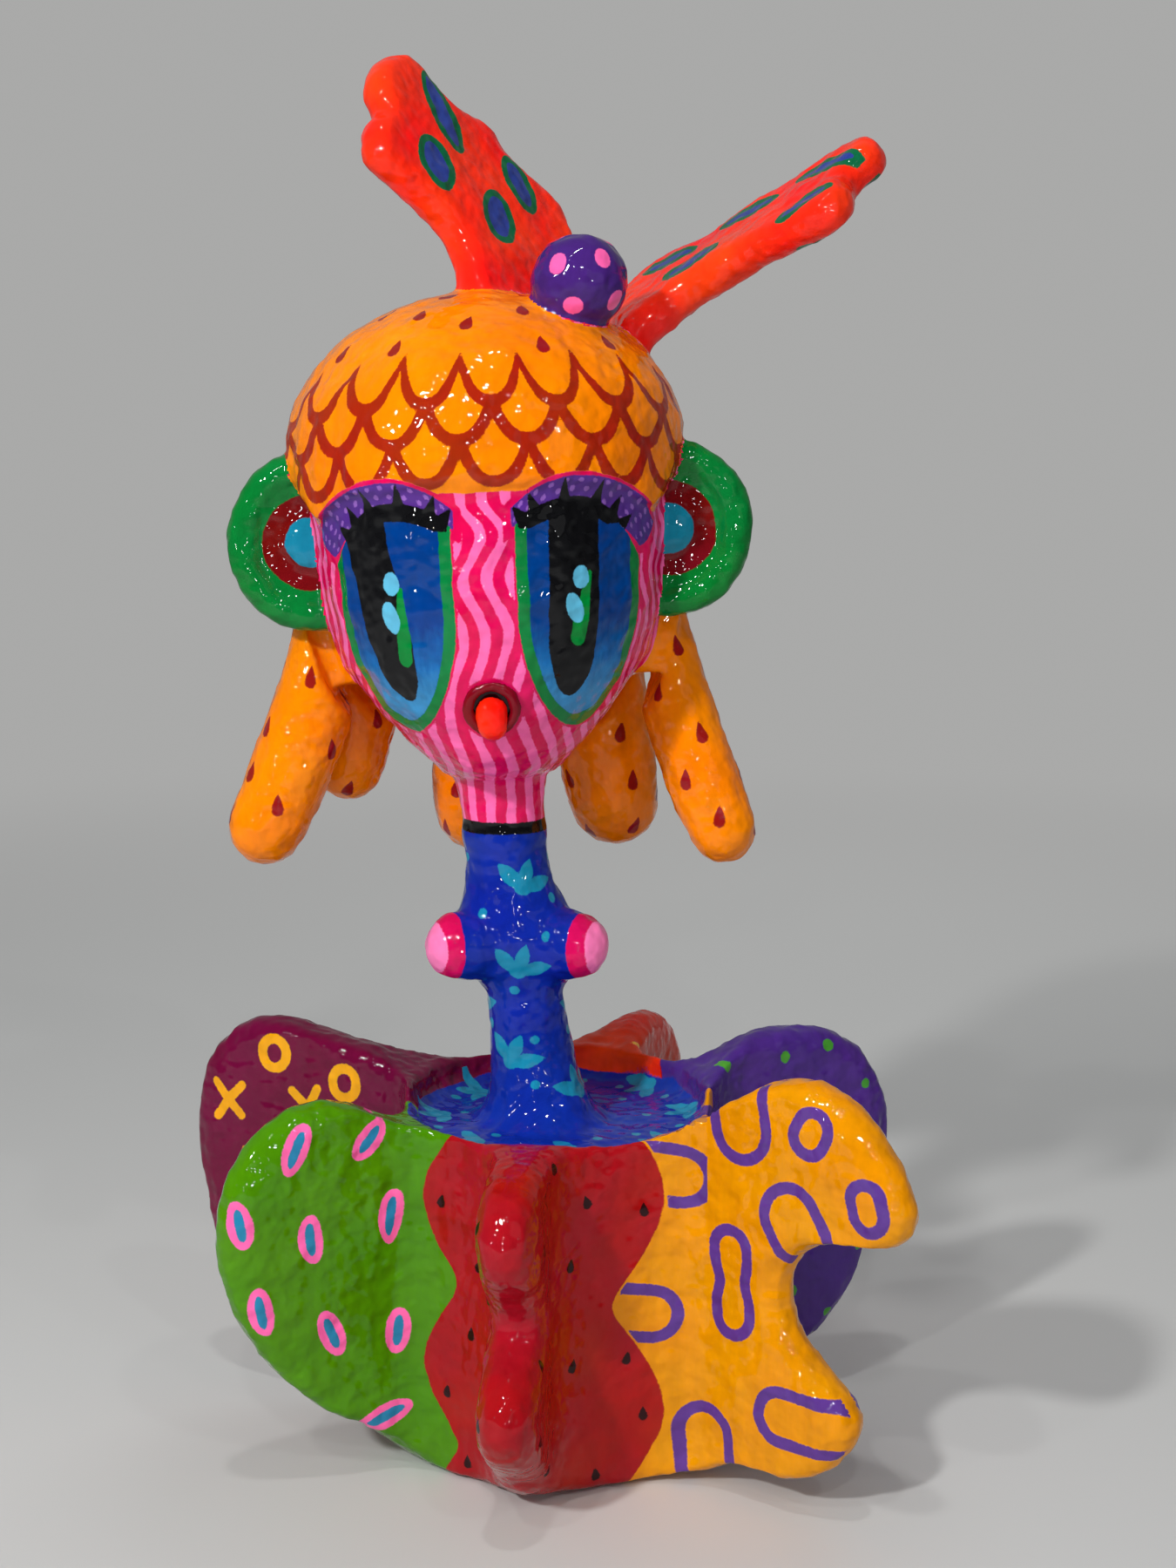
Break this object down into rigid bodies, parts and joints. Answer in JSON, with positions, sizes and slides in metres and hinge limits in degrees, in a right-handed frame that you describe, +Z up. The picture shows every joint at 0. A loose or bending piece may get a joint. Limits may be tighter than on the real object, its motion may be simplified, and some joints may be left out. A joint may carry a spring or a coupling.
{
  "type": "alebrije figure",
  "caption": "Painted papier-mache figure: a drum-shaped foot with thick petals, a leaning torso with side pods, a head with hanging locks and rolled ears, and a winged bow.",
  "frame": {"origin": "centre of the drum's underside, on the surface that the figure stands on", "axes": "+Z up through the drum, -Y to the front of the face"},
  "size_m": [0.3167, 0.2706, 0.5871],
  "materials": {
    "paint_blue": "gloss varnish over blue paint",
    "paint_red": "gloss varnish over red paint",
    "paint_amber": "gloss varnish over amber paint",
    "paint_purple": "gloss varnish over purple paint",
    "paint_orange_red": "gloss varnish over orange-red paint",
    "paint_maroon": "gloss varnish over maroon paint",
    "paint_green": "gloss varnish over green paint",
    "paint_pink": "gloss varnish over pink paint",
    "paint_black": "gloss varnish over black paint",
    "paint_crimson": "gloss varnish over crimson paint with pink stripes",
    "paint_hair": "gloss varnish over orange paint",
    "paint_ear_green": "gloss varnish over green paint",
    "paint_dark_red": "gloss varnish over dark red paint",
    "paint_violet": "gloss varnish over dark violet paint",
    "core_board": "bare",
    "core_wood": "bare softwood",
    "core_wire": "bare annealed wire"
  },
  "bodies": {
    "root": {"base_disc": "core_wood", "drum": "paint_blue", "post": "core_wood", "petal_red": "paint_red", "petal_yellow": "paint_amber", "petal_purple": "paint_purple", "petal_orange": "paint_orange_red", "petal_maroon": "paint_maroon", "petal_green": "paint_green", "board_red": "core_board", "board_yellow": "core_board", "board_purple": "core_board", "board_orange": "core_board", "board_maroon": "core_board", "board_green": "core_board", "torso": "paint_blue", "pod_left": "paint_pink", "pod_right": "paint_pink", "pod_wire": "core_wire", "neck_collar": "paint_black", "head": "paint_crimson", "hair_cap": "paint_hair", "lock_outer_left": "paint_hair", "lock_back_left": "paint_hair", "lock_back": "paint_hair", "lock_back_right": "paint_hair", "lock_outer_right": "paint_hair", "lock_wires": "core_wire", "ear_roll_left": "paint_ear_green", "ear_roll_right": "paint_ear_green", "ear_pad_left": "paint_dark_red", "ear_pad_right": "paint_dark_red", "ear_pegs": "core_wood", "lips": "paint_dark_red", "tongue": "paint_orange_red", "bow_knob": "paint_violet", "wing_left": "paint_orange_red", "wing_right": "paint_orange_red", "wing_wires": "core_wire"}
  },
  "joints": []
}
